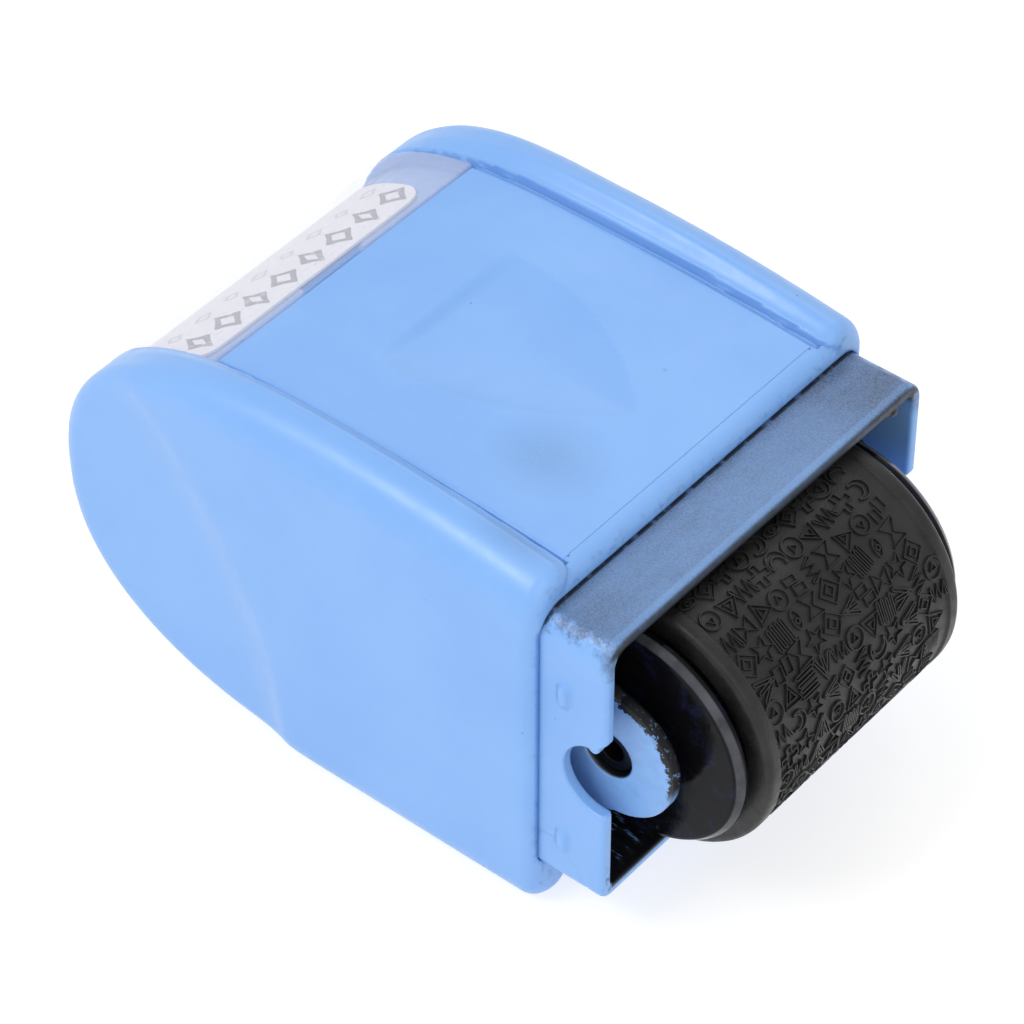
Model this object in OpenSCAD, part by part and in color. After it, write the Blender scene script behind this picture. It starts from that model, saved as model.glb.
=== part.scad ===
// Roller stamp with an inked type roller. +X is forward (the roller end),
// +Z is up, and the origin is the middle of the bottom of the whole object.

/* [Case] */
// Width of the case across its sides
case_w = 50; // [48:1:60]
// Height of the case over its rails
case_h = 44; // [43:1:50]
// Length of the case, back to collar face
case_l = 59.3; // [56:0.1:70]
// Length of the rounded back
back_l = 32; // [30:1:34]
// Thickness of the moulded walls
wall = 1.8; // [1.6:0.1:2.2]
// How far the top panel lies below the crest of the rails
rail_h = 2.2; // [1.8:0.1:2.4]
// Width of the panels between the rails
panel_w = 37.8; // [34:0.1:38]
// Depth of the finger scoop in each side
scoop_d = 1.5; // [0.5:0.1:1.8]

/* [Neck] */
// Outer width of the neck
neck_w = 47.4; // [46:0.1:47.6]
// Outer height of the neck
neck_h = 32.7; // [32.5:0.1:33.5]
// How far the neck stands out of the collar
neck_out = 7.4; // [6:0.1:10]
// Thickness of the neck's walls
neck_wall = 1.3; // [1.1:0.1:1.5]
// Radius of the round notch in each neck side
notch_r = 4.1; // [3.5:0.1:4.4]

/* [Type roller] */
// Diameter over the rubber sleeve
sleeve_d = 28.2; // [27:0.1:28.6]
// Length of the rubber sleeve
sleeve_l = 29.4; // [26:0.1:29.6]
// Thickness of the rubber sleeve
sleeve_t = 2.6; // [2:0.1:3]
// Diameter of the end discs
disc_d = 24.8; // [22:0.1:25]
// Diameter of the axle
axle_d = 5; // [4:0.1:5.2]
// How far the axle lies behind the neck's mouth
axle_in = 2.2; // [1:0.1:4]

/* [Ink roller] */
// Diameter over the ink foam
foam_d = 15; // [13:0.1:15.4]
// Diameter of the steel spindle
spindle_d = 3; // [2:0.1:3.4]

/* [Label] */
// Thickness of the clear window
window_t = 1.2; // [1:0.1:1.5]
// Thickness of the card under it
card_t = 0.3; // [0.2:0.1:0.4]

/* [Hidden] */
$fn = 96;

case_blue = [0.56, 0.73, 0.97];
ink_black = [0.06, 0.06, 0.08];

// Lengthwise stations
total_l = case_l + neck_out - axle_in + sleeve_d / 2;
x_back = -total_l / 2;
x_collar = x_back + case_l;
x_neck = x_collar + neck_out;
x_axle = x_neck - axle_in;
x_round = x_back + back_l;
collar_t = 2;

// Heights
z_mid = case_h / 2;
z_axle = z_mid - 0.1;
neck_z0 = z_mid + 0.15 - neck_h / 2;

// Outline of the case seen from its side
squareness = 2.5;
base_squareness = 2.2;
top_drop = 2.1;
top_edge_r = 4.6;
base_edge_r = 3.8;
back_edge_r = 2.6;
scoop_r = 60;
scoop_x = x_back - 31.4;
scoop_z = -3;
scoop_turn = 2.6;

// Outline of the panels and the window, which meets the crest at the back
panel_squareness = 3;
panel_drop = 1.2;
panel_back_in = 0.2;
base_in = 1.7;

// Slots, ledges and running gaps
fit_gap = 0.2;
slot_w = panel_w + 2 * fit_gap;
panel_t = 1.4;
ledge_w = 1.5;
ledge_t = 1.5;
x_window = x_back + 16;
z_window = 26;
seat_in = window_t + card_t + 0.1;

// Neck and the bay behind it
x_bay = x_neck - 36.9;
bay_wall = 1.5;
lip_t = 2;
lip_w = 33;
lip_up = 0.4;
rib_h = 0.35;

// Cartridge
cheek_in = 18.8;
cheek_t = 1.7;
cheek_out = cheek_in + cheek_t;
x_cart = x_bay + bay_wall + 0.5;
cart_z0 = neck_z0 + neck_wall + 0.8;
cart_z1 = neck_z0 + neck_h - neck_wall - 0.6;
runner_y = neck_w / 2 - neck_wall - 0.35;
bridge_t = 2;
boss_x = x_cart + 2.4;
boss_up = 6.5;
rod_x = x_cart + 6;
rod_up = 9.7;
rod_r = 1.9;
screw_r = 0.95;
screw_hole_r = 1;
screw_l = 7;

// Rollers
sleeve_r = sleeve_d / 2;
core_r = sleeve_r - sleeve_t;
core_wall = 1.7;
hub_r = 4;
hub_out = cheek_in - 0.4;
disc_out = cheek_in - 1.7;
run_gap = 0.05;
foam_r = foam_d / 2;
x_ink = x_axle - sleeve_r - foam_r - 0.1;
ink_core_r = 4.2;

// Points of the rounded back, from the crest over the back to the base
function back_points(in_x, in_top, in_base, power) = [
    for (a = [90 : -6 : -90])
        let (n = a > 0 ? power : base_squareness)
        [x_round - (back_l - in_x) * pow(abs(cos(a)), 2 / n),
         z_mid + sign(a) * (z_mid - (a > 0 ? in_top : in_base)) * pow(abs(sin(a)), 2 / n)]
];

// Points of the slightly arched top, from the collar back to the crest
function top_points(in_top, x_end, drop) = [
    for (i = [6 : -1 : 1])
        let (t = i / 6)
        [x_round + (x_end - x_round) * t, case_h - in_top - drop * t * t]
];

// Side view of the case, drawn in by the given amounts
module side_view(in_x, in_top, in_base, x_end = x_collar, power = squareness, drop = top_drop)
    polygon(concat(top_points(in_top, x_end, drop), back_points(in_x, in_top, in_base, power),
                   [[x_end, in_base]]));

// Side view of what lies a given depth below the panels' own surface
module panel_view(depth, x_end = x_collar)
    side_view(panel_back_in + depth, rail_h + depth, base_in + depth, x_end,
              panel_squareness, panel_drop);

// A side view carried across the width, centred on y = 0
module across(width)
    rotate([90, 0, 0]) linear_extrude(width, center = true) children();

// The layer between two depths below the panels' surface
module layer(depth_0, depth_1, width)
    across(width) difference() {
        panel_view(depth_0);
        panel_view(depth_1, x_collar + 1);
    }

// A block across the whole width, between two stations and two heights
module region(x_0, x_1, z_0, z_1)
    translate([x_0, -case_w, z_0]) cube([x_1 - x_0, 2 * case_w, z_1 - z_0]);

// How far an edge of radius r draws the surface in at distance y from the middle
function edge_in(y, r) =
    let (d = max(0, y - case_w / 2 + r)) r - sqrt(max(0, r * r - d * d));

module rounded_block() {
    steps = 5;
    hull() for (i = [0 : steps])
        let (a = 90 * i / steps, y = case_w / 2 - top_edge_r * (1 - sin(a)))
        across(2 * y)
            side_view(edge_in(y, back_edge_r), edge_in(y, top_edge_r), edge_in(y, base_edge_r));
}

// A centred rectangle with corners of radius r above and low_r below
module round_rect(w, h, r, low_r) {
    translate([-w / 2, low_r - h / 2]) square([w, h - r - low_r]);
    translate([r - w / 2, 0]) square([w - 2 * r, h / 2]);
    translate([low_r - w / 2, -h / 2]) square([w - 2 * low_r, h / 2]);
    for (x = [-1, 1]) {
        translate([x * (w / 2 - r), h / 2 - r]) circle(r);
        translate([x * (w / 2 - low_r), low_r - h / 2]) circle(low_r);
    }
}

// A front view carried forward from x_0 to x_1, centred on the neck
module along(x_0, x_1)
    translate([x_0, 0, neck_z0 + neck_h / 2]) rotate([90, 0, 90])
        linear_extrude(x_1 - x_0) children();

// A rod across the object, from y_0 to y_1
module cross_rod(x, z, r, y_0, y_1)
    translate([x, y_1, z]) rotate([90, 0, 0]) cylinder(r = r, h = y_1 - y_0);

// Outline of the thumb rest in the top panel, seen from above
module thumb_outline() {
    arc_r = 29.7;
    arc_x = x_round - 3.1;
    arc_y = 19.7;
    intersection() {
        translate([arc_x, -arc_y]) circle(arc_r, $fn = 180);
        translate([arc_x, arc_y]) circle(arc_r, $fn = 180);
        translate([arc_x - 1.6, -case_w / 2]) square([case_l, case_w]);
    }
}

module outer_case() {
    color(case_blue) difference() {
        union() {
            difference() {
                rounded_block();
                // roomy front bay and narrower back bay
                intersection() {
                    across(case_w - 2 * wall) side_view(wall, wall, wall);
                    region(x_bay - 0.5, x_collar - collar_t, 0, case_h);
                }
                intersection() {
                    across(case_w - 2 * (wall + scoop_d + 0.3)) side_view(wall, wall, wall);
                    region(x_back, x_bay, 0, case_h);
                }
            }
            // webs and ledges beside the panels
            for (side = [-1, 1]) translate([0, side * (slot_w / 2 + 0.2), 0])
                intersection() {
                    across(2 * ledge_w) difference() {
                        side_view(wall / 2, wall / 2, wall / 2);
                        panel_view(panel_t + ledge_t, x_collar + 1);
                    }
                    region(x_back, x_collar - 1, 0, case_h);
                }
            // floor under the label
            intersection() {
                layer(seat_in, seat_in + wall, case_w - 4);
                region(x_back, x_window + 1.5, z_window - 2, case_h);
            }
        }
        // slots that take the two panels
        intersection() {
            layer(-3, panel_t, slot_w);
            union() {
                region(x_window, x_collar - collar_t, z_mid, case_h + 1);
                region(x_round - 6, x_collar - collar_t - 2, -1, z_mid);
            }
        }
        intersection() {
            across(slot_w - 2 * ledge_w) side_view(-1, -1, -1);
            union() {
                region(x_window + 1.5, x_collar - collar_t - 2, z_mid + 15, case_h + 1);
                region(x_round - 4, x_collar - collar_t - 4, -1, 8);
            }
        }
        // seat of the label and its window
        intersection() {
            layer(-3, seat_in, slot_w);
            region(x_back - 1, x_window, z_window, case_h + 1);
        }
        // collar between the rails, level with the panel
        intersection() {
            layer(-3, 0, slot_w);
            region(x_collar - collar_t - 1, x_collar + 1, z_mid, case_h + 1);
        }
        // mouth for the neck, and room for it inside
        along(x_bay - 0.3, x_collar + 1) round_rect(neck_w + 0.1, neck_h + 0.1, 2.65, 1.35);
        // finger scoops behind the side creases
        for (side = [-1, 1])
            translate([x_round - 4, side * (case_w / 2 + 0.01), 0]) rotate([0, 0, -side * scoop_turn])
                translate([scoop_x - x_round + 4, 0, scoop_z]) rotate([side * 90, 0, 0])
                    cylinder(r1 = scoop_r, r2 = scoop_r - 1.2, h = scoop_d, $fn = 240);
    }
}

module top_panel() {
    color(case_blue) {
        difference() {
            intersection() {
                layer(0, panel_t, panel_w);
                region(x_window + fit_gap, x_collar - collar_t - fit_gap, z_mid, case_h);
            }
            intersection() {
                layer(-1, 0.6, panel_w);
                linear_extrude(case_h) thumb_outline();
            }
        }
        // snap hooks that reach in behind the ledges
        intersection() {
            for (side = [-1, 1], x = [x_window + 3, x_bay - 6])
                translate([x, side * (slot_w / 2 - ledge_w - 0.9) - 0.6, z_mid + 14])
                    cube([4, 1.2, case_h]);
            across(case_w) panel_view(0.5);
        }
    }
}

module base_panel() {
    color(case_blue) {
        intersection() {
            layer(0, panel_t, panel_w);
            region(x_round - 6 + fit_gap, x_collar - collar_t - 2 - fit_gap, 0, z_mid);
        }
        for (side = [-1, 1], x = [x_round, x_collar - 14])
            translate([x, side * (slot_w / 2 - ledge_w - 0.9) - 0.6, base_in + panel_t - 0.1])
                cube([5, 1.2, 1.4]);
    }
}

module label_window() {
    nail_y = -1.4;
    nail_w = 8.6;
    color([0.85, 0.86, 0.95, 0.35]) difference() {
        intersection() {
            layer(0, window_t, slot_w - 0.2);
            region(x_back, x_window - 0.15, z_window + 0.15, case_h);
        }
        translate([x_window - 0.9, nail_y - nail_w / 2, z_mid]) cube([2, nail_w, case_h]);
    }
}

module label_card() {
    color("white") intersection() {
        layer(seat_in - card_t - 0.05, seat_in - 0.05, slot_w - 4);
        region(x_back, x_window - 1, z_window + 1, case_h);
    }
}

module neck_sleeve() {
    notch_x = x_neck - 0.8;
    notch_z = z_axle - 0.5;
    color(case_blue) difference() {
        union() {
            along(x_bay, x_neck) round_rect(neck_w, neck_h, 2.6, 1.3);
            // lips that stop against the inside of the collar
            translate([x_collar - collar_t - lip_t, -lip_w / 2, neck_z0 - 1.8])
                cube([lip_t, lip_w, neck_h + 1.8 + lip_up]);
            // bumps that a cap clicks over
            for (side = [-1, 1], z = [z_mid - 12, z_mid + 7])
                translate([x_collar + 2.6, side * (neck_w / 2 - 0.25), z])
                    cylinder(r = 0.7, h = 2.6, $fn = 24);
        }
        along(x_bay + bay_wall, x_neck + 1)
            round_rect(neck_w - 2 * neck_wall, neck_h - 2 * neck_wall, 1.4, 0.7);
        // round notch in each side, open to the front through a slanted upper lip
        cross_rod(notch_x, notch_z, notch_r, -case_w, case_w);
        across(2 * case_w) polygon([[x_neck - 1.3, notch_z + notch_r - 0.1], [x_neck + 1, notch_z],
                                    [x_neck + 1, notch_z + notch_r + 3.2]]);
    }
    // fine ribs along the floor
    color(case_blue) for (i = [-13 : 13])
        translate([x_collar, i * 1.5 - 0.3, neck_z0 + neck_wall - 0.1])
            cube([neck_out - 0.4, 0.6, rib_h + 0.1]);
    // snap nub in the upper lip of each notch
    color(case_blue) for (side = [-1, 1])
        cross_rod(x_neck - 1.5, notch_z + notch_r, 0.6,
                  side * (neck_w - neck_wall) / 2 - neck_wall / 2,
                  side * (neck_w - neck_wall) / 2 + neck_wall / 2);
}

// Side view of a cartridge cheek
module cheek_view() {
    nose_r = 7.2;
    x_step = x_axle - 10.5;
    polygon([[x_cart, cart_z0], [x_step, cart_z0], [x_axle, z_axle - nose_r],
             [x_axle, z_axle + nose_r], [x_step, cart_z1], [x_cart, cart_z1]]);
    translate([x_axle, z_axle]) circle(nose_r);
}

// One cheek with its runners; side is -1 on the right and 1 on the left
module cheek(side, holes) {
    difference() {
        union() {
            translate([0, side * (cheek_in + cheek_t / 2), 0]) across(cheek_t) cheek_view();
            for (z = [cart_z0, cart_z1 - 2])
                translate([x_cart, side * (cheek_in + runner_y) / 2 - (runner_y - cheek_in) / 2, z])
                    cube([23, runner_y - cheek_in, 2]);
        }
        cross_rod(x_axle, z_axle, axle_d / 2 + 0.02, -case_w, case_w);
        cross_rod(x_ink, z_axle, spindle_d / 2 + 0.02, -case_w, case_w);
        for (p = holes) cross_rod(p[0], p[1], screw_hole_r, -case_w, case_w);
    }
}

rod_places = [[rod_x, z_axle - rod_up], [rod_x, z_axle + rod_up]];
boss_places = [[boss_x, z_axle - boss_up], [boss_x, z_axle + boss_up]];

module cartridge_frame() {
    color(case_blue) {
        cheek(-1, rod_places);
        difference() {
            union() {
                translate([x_cart, -cheek_in - 0.1, cart_z0])
                    cube([bridge_t, 2 * cheek_in + 0.1, cart_z1 - cart_z0]);
                for (p = boss_places) cross_rod(p[0], p[1], 2.4, cheek_in - 9, cheek_in);
            }
            for (p = boss_places) cross_rod(p[0], p[1], screw_hole_r, cheek_in - 8, case_w);
        }
    }
}

module cartridge_side_plate()
    color(case_blue) cheek(1, concat(rod_places, boss_places));

module tie_rod(z)
    color([0.75, 0.75, 0.78]) difference() {
        cross_rod(rod_x, z, rod_r, -cheek_in, cheek_in);
        for (side = [-1, 1])
            cross_rod(rod_x, z, screw_hole_r, side * cheek_in - 7, side * cheek_in + 7);
    }

module tie_rod_upper() tie_rod(z_axle + rod_up);

module tie_rod_lower() tie_rod(z_axle - rod_up);

// A screw driven into the cheek on the given side, with its crossed head outside
module screw(place, side)
    translate([place[0], side * cheek_out, place[1]]) rotate([side * 90, 0, 0]) {
        cylinder(r = screw_r, h = screw_l);
        difference() {
            translate([0, 0, -1.1]) cylinder(r = 1.9, h = 1.1);
            for (turn = [0, 90]) rotate(turn)
                translate([-1.1, -0.2, -1.2]) cube([2.2, 0.4, 0.7]);
        }
    }

module side_plate_screws()
    color([0.75, 0.75, 0.78]) for (p = concat(rod_places, boss_places)) screw(p, 1);

module frame_screws()
    color([0.75, 0.75, 0.78]) for (p = rod_places) screw(p, -1);

module roller_axle()
    color(ink_black) difference() {
        cross_rod(x_axle, z_axle, axle_d / 2, -cheek_out + 0.6, cheek_out - 0.6);
        for (side = [-1, 1])
            cross_rod(x_axle, z_axle, axle_d / 4, side * cheek_out - 3, side * cheek_out + 3);
    }

// A turned shape about a rod's axis: its view is drawn as [radius, y]
module turned(x)
    translate([x, 0, z_axle]) rotate([-90, 0, 0]) rotate_extrude() children();

module roller_core()
    color(ink_black) turned(x_axle) difference() {
        translate([0, -sleeve_l / 2]) square([core_r, sleeve_l]);
        translate([-1, -sleeve_l / 2 - 1]) square([core_r - core_wall + 1, sleeve_l + 2]);
    }

module type_sleeve()
    color([0.13, 0.13, 0.14]) turned(x_axle)
        translate([core_r, -sleeve_l / 2]) square([sleeve_t, sleeve_l]);

// End disc with a bevelled rim, a hub that keeps it off the cheek and a spigot that plugs the core
module end_disc(side)
    color(ink_black) turned(x_axle) mirror([0, side > 0 ? 0 : 1]) {
        disc_r = disc_d / 2;
        disc_in = disc_out - 1.6;
        plug_r = core_r - core_wall;
        y_end = sleeve_l / 2;
        bore_r = axle_d / 2 + run_gap;
        polygon([[bore_r, y_end - 4], [plug_r, y_end - 4], [plug_r, y_end], [disc_r - 2, y_end],
                 [disc_r - 2, disc_in], [disc_r - 0.3, disc_in], [disc_r, disc_in + 0.3],
                 [disc_r, disc_out - 0.8], [disc_r - 0.45, disc_out], [hub_r, disc_out],
                 [hub_r, hub_out], [bore_r, hub_out]]);
    }

module end_disc_left() end_disc(1);

module end_disc_right() end_disc(-1);

module ink_spindle()
    color([0.75, 0.75, 0.78])
        cross_rod(x_ink, z_axle, spindle_d / 2, -cheek_out + 0.2, cheek_out - 0.2);

module ink_core()
    color([0.85, 0.85, 0.85]) turned(x_ink)
        translate([spindle_d / 2 + run_gap, -sleeve_l / 2 - 0.6])
            square([ink_core_r - spindle_d / 2 - run_gap, sleeve_l + 1.2]);

module ink_foam()
    color([0.1, 0.1, 0.16]) turned(x_ink)
        translate([ink_core_r, -sleeve_l / 2]) square([foam_r - ink_core_r, sleeve_l]);

module ink_washer(side)
    color([0.85, 0.85, 0.85]) turned(x_ink) mirror([0, side > 0 ? 0 : 1])
        translate([spindle_d / 2 + 0.02, sleeve_l / 2 + 0.8])
            square([2, cheek_in - sleeve_l / 2 - 0.8]);

module ink_washer_left() ink_washer(1);

module ink_washer_right() ink_washer(-1);

outer_case();
top_panel();
base_panel();
label_window();
label_card();
neck_sleeve();
cartridge_frame();
cartridge_side_plate();
tie_rod_upper();
tie_rod_lower();
side_plate_screws();
frame_screws();
roller_axle();
roller_core();
type_sleeve();
end_disc_left();
end_disc_right();
ink_spindle();
ink_core();
ink_foam();
ink_washer_left();
ink_washer_right();
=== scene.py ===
"""Roller stamp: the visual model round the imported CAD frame.

Shapes are worked out in millimetres in the CAD frame and written in metres. The moulded
pieces are level sets of distance fields, so that their edges are truly round; the turned
pieces are lathes; the rubber's relief is made of raised strokes.
"""

import functools
import itertools
import math

import bpy
import numpy as np
from mathutils import Matrix, Vector


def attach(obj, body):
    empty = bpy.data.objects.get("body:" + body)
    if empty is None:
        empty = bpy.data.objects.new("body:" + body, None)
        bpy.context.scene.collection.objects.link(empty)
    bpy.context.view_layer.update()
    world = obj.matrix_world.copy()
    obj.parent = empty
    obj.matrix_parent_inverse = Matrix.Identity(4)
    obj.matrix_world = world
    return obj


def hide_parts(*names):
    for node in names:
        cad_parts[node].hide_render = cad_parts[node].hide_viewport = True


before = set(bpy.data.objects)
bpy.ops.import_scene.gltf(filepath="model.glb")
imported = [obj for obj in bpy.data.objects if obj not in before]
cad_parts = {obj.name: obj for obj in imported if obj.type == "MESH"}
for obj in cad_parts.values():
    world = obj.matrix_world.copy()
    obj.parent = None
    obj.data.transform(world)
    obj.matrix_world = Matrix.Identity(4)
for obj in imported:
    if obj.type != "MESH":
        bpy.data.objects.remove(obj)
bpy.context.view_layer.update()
MM = 0.001

# ---------------------------------------------------------------- sizes, in mm, as in the CAD
CASE_W, CASE_H, WALL, RAIL_H, BASE_IN = 50.0, 44.0, 1.8, 2.2, 1.7
BACK_L, PANEL_W, SCOOP_D = 32.0, 37.8, 1.5
X_BACK, X_COLLAR, X_NECK, X_AXLE = -39.3, 20.0, 27.4, 25.2
X_ROUND, X_WINDOW, X_BAY, X_CART, X_INK = -7.3, -23.3, -9.5, -7.5, 3.5
Z_MID, Z_AXLE, NECK_Z0 = 22.0, 21.9, 5.8
SLOT_W, PANEL_T, SEAT_IN, WINDOW_T = 38.2, 1.4, 1.6, 1.2
NECK_W, NECK_H, NECK_WALL, NOTCH_R = 47.4, 32.7, 1.3, 4.1
NOTCH_X, NOTCH_Z = X_NECK - 0.8, Z_AXLE - 0.5
CART_Z0, CART_Z1, CHEEK_IN, CHEEK_OUT, RUNNER_Y = 7.9, 36.6, 18.8, 20.5, 22.05
BOSSES = [(X_CART + 2.4, Z_AXLE - 6.5), (X_CART + 2.4, Z_AXLE + 6.5)]
RODS = [(X_CART + 6, Z_AXLE - 9.7), (X_CART + 6, Z_AXLE + 9.7)]
SLEEVE_R, SLEEVE_L, CORE_R, DISC_OUT = 14.1, 29.4, 11.5, 17.1
FOAM_R, INK_CORE_R, SPINDLE_R, AXLE_R = 7.5, 4.2, 1.5, 2.5
NOSE_R, DISC_R, HUB_R, ROD_R, SCREW_R = 7.2, 12.4, 4.0, 1.9, 1.0

# ---------------------------------------------------------------- sizes of the finer shapes, in mm
GROOVE_W, GROOVE_DEPTH = 0.6, 0.5
REST_X, REST_Y, REST_R, REST_DEPTH = -10.4, 19.7, 29.7, 0.75
CREASE_X, CREASE_Z, CREASE_R = -70.7, -3.0, 60.0
NAIL_Y, NAIL_HALF_W = -1.4, 4.3
BUMP_X, BUMP_R, BUMPS_Z = X_COLLAR + 2.6, 0.75, (Z_MID - 12, Z_MID + 7)
DRIED_INK = ((18.5, 37.1, 0.5), (19.5, 36.8, 0.65), (20.6, 37.1, 0.45))
CARD_FRONT, CARD_BACK, CARD_NEAR, CARD_FAR, CARD_R = 2.2, 20.5, -18.2, 14.6, 2.6
MARK_PITCH, FIRST_MARK_Y, MARKS_ON_CARD = 4.0, -15.6, 8
RIB_PITCH, RIBS_PER_SIDE = 1.5, 13
SLEEVE_ROWS, RELIEF_H = 34, 0.235


# ---------------------------------------------------------------- distance fields
def ramp(t):
    t = np.clip(t, 0, 1)
    return t * t * (3 - 2 * t)


def both(a, b, r=0.0):
    """Where both fields are solid, with the edge rounded to radius r."""
    return np.minimum(np.maximum(a, b), -r) + np.hypot(np.maximum(a + r, 0), np.maximum(b + r, 0))


def either(a, b, r=0.0):
    """Where either field is solid, with the corner filled to radius r."""
    return -both(-a, -b, r)


def less(a, b, r=0.0):
    """Field a with b cut out of it, the cut's edge rounded to radius r."""
    return both(a, -b, r)


def span(v, lo, hi):
    return np.maximum(lo - v, v - hi)


def inside_all(*fields):
    """Where every field is solid, with sharp edges."""
    return functools.reduce(np.maximum, fields)


def block(x, y, z, x0, x1, y0, y1, z0, z1):
    return inside_all(span(x, x0, x1), span(y, y0, y1), span(z, z0, z1))


def round_rect(u, v, w, h, top_r, low_r):
    """A centred rectangle with corners of radius top_r above and low_r below."""
    r = np.where(v > 0, top_r, low_r)
    a, b = np.abs(u) - w / 2 + r, np.abs(v) - h / 2 + r
    return np.minimum(np.maximum(a, b), 0) + np.hypot(np.maximum(a, 0), np.maximum(b, 0)) - r


def side_line(x, z, in_x, in_top, in_base, power, drop):
    """Signed depth below an outline of the case as seen from its side, drawn in by the given amounts."""
    n = np.where(z > Z_MID, power, 2.2)
    rise = Z_MID - np.where(z > Z_MID, in_top, in_base)
    u = np.maximum(X_ROUND - x, 0) / (BACK_L - in_x) + 1e-6
    w = np.abs(z - Z_MID) / rise + 1e-6
    s = u**n + w**n
    slope = s ** (1 / n - 1) * np.hypot(u ** (n - 1) / (BACK_L - in_x), w ** (n - 1) / rise)
    back = (s ** (1 / n) - 1) / slope
    t = np.clip((x - X_ROUND) / (X_COLLAR - X_ROUND), 0, 1.3)
    return np.where(x < X_ROUND, back, np.maximum(z - CASE_H + in_top + drop * t * t, in_base - z))


def outline(x, z):
    """The crest of the rails, and the rounded back."""
    return side_line(x, z, 0.0, 0.0, 0.0, 2.5, 2.1)


def panel_line(x, z):
    """The surface of the panels and the window, which meets the crest at the back."""
    return side_line(x, z, 0.2, RAIL_H, BASE_IN, 3.0, 1.2)


def scoop_inset(x, z):
    """How far the finger scoop behind the crease draws the side in; it runs out towards the back."""
    behind = CREASE_R - np.hypot(x - CREASE_X, z - CREASE_Z)
    behind = (behind + np.sqrt(behind * behind + 0.5)) / 2
    depth = SCOOP_D - 0.0454 * np.maximum(X_ROUND - 4 - x, 0)
    return depth * (1 - (1 - np.clip(behind / 6.0, 0, 1)) ** 2.2)


def case_body(x, y, z):
    """The outside of the case: rounded sides, rails that fall to the panel line, and the front edge."""
    ay, d = np.abs(y), outline(x, z)
    inset = scoop_inset(x, z)
    top_r = 4.6 - 2.3 * ramp((-8 - x) / 24)
    r = 3.8 + (top_r - 3.8) * ramp((z - 6) / 30)
    rails = np.maximum(ramp((z - 26) / 4), ramp((10 - z) / 4) * ramp((x - X_ROUND + 10) / 6))
    gap = np.clip(panel_line(x, z) - d, 0, 2.4)
    lowered = 0.6 * gap * rails * (1 - ramp((ay - SLOT_W / 2) / 1.9))
    e = both(d + lowered, ay - CASE_W / 2 + inset, r - inset)
    between = inside_all(ay - SLOT_W / 2, -panel_line(x, z), 26 - z)
    return both(less(e, between, 0.16), x - X_COLLAR, 1.7)


def groove(x, ay, dp):
    """The groove between the top panel and each rail."""
    across = np.abs(ay - SLOT_W / 2 + GROOVE_W / 2) - GROOVE_W / 2
    return inside_all(across, -dp - GROOVE_DEPTH, span(x, X_WINDOW, X_COLLAR - 1.4))


def case_field(x, y, z):
    """The hollow case with its webs, label seat, panel slots and the opening for the neck."""
    ay, d, dp = np.abs(y), outline(x, z), panel_line(x, z)
    body = case_body(x, y, z)
    hollow = both(d + WALL, ay - CASE_W / 2 + WALL + scoop_inset(x, z), 1.5)
    e = np.maximum(body, -np.maximum(hollow, x - X_COLLAR + 2))
    webs = inside_all(span(ay, SLOT_W / 2 - 1.3, SLOT_W / 2 + 1.7), body, -dp - 2.9)
    e = np.minimum(e, np.maximum(webs, x - X_COLLAR + 1))
    seat = np.maximum(span(dp, -SEAT_IN - WALL, -SEAT_IN), ay - CASE_W / 2 + 2)
    e = np.minimum(e, inside_all(seat, span(x, X_BACK, X_WINDOW + 1.5), 24 - z))
    slot_y = ay - SLOT_W / 2
    top = np.maximum(span(x, X_WINDOW, X_COLLAR - 2), Z_MID - z)
    low = np.maximum(span(x, X_ROUND - 6, X_COLLAR - 4), z - Z_MID)
    slot = np.maximum(-dp - PANEL_T, np.minimum(top, low))
    label = inside_all(-dp - SEAT_IN, x - X_WINDOW, 26 - z)
    e = less(e, np.maximum(slot_y, np.minimum(slot, label)), 0.2)
    e = less(e, groove(x, ay, dp), 0.05)
    top_hole = np.maximum(span(x, X_WINDOW + 1.5, X_COLLAR - 4), 37 - z)
    low_hole = np.maximum(span(x, X_ROUND - 4, X_COLLAR - 6), z - 8)
    e = np.maximum(e, -np.maximum(slot_y + 1.5, np.minimum(top_hole, low_hole)))
    mouth = round_rect(y, z - NECK_Z0 - NECK_H / 2, NECK_W + 0.16, NECK_H + 0.16, 2.68, 1.38)
    return less(e, np.maximum(mouth, X_BAY - 0.3 - x), 0.3)


def thumb_rest(x, y):
    """Depth of the thumb rest: a lens-shaped dip, steep at its back and soft in front."""
    sides = np.maximum(np.hypot(x - REST_X, y - REST_Y), np.hypot(x - REST_X, y + REST_Y)) - REST_R
    inside = np.maximum(-sides, 0)
    return REST_DEPTH * (1 - np.exp(-inside / 3.2)) * ramp((x - REST_X + 1.8) / 2.2)


def panel_field(x, y, z):
    ay, dp = np.abs(y), panel_line(x, z)
    e = less(both(dp + thumb_rest(x, y), ay - SLOT_W / 2 - 0.25), groove(x, ay, dp), 0.3)
    e = both(e, span(x, X_WINDOW + 0.2, X_COLLAR - 1.75), 0.05)
    e = inside_all(e, -dp - PANEL_T, Z_MID - z)
    for x0 in (X_WINDOW + 3, X_BAY - 6):
        hook = block(x, ay, z, x0, x0 + 4, 16.1, 17.3, Z_MID + 14, CASE_H)
        e = np.minimum(e, np.maximum(hook, dp + 0.5))
    return e


def base_field(x, y, z):
    ay, dp = np.abs(y), panel_line(x, z)
    e = both(dp, ay - PANEL_W / 2, 0.3)
    e = both(e, span(x, X_ROUND - 5.8, X_COLLAR - 4.2), 0.2)
    e = inside_all(e, -dp - PANEL_T, z - Z_MID)
    for x0 in (X_ROUND, X_COLLAR - 14):
        e = np.minimum(e, block(x, ay, z, x0, x0 + 5, 16.1, 17.3, 3.0, 4.4))
    return e


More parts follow.
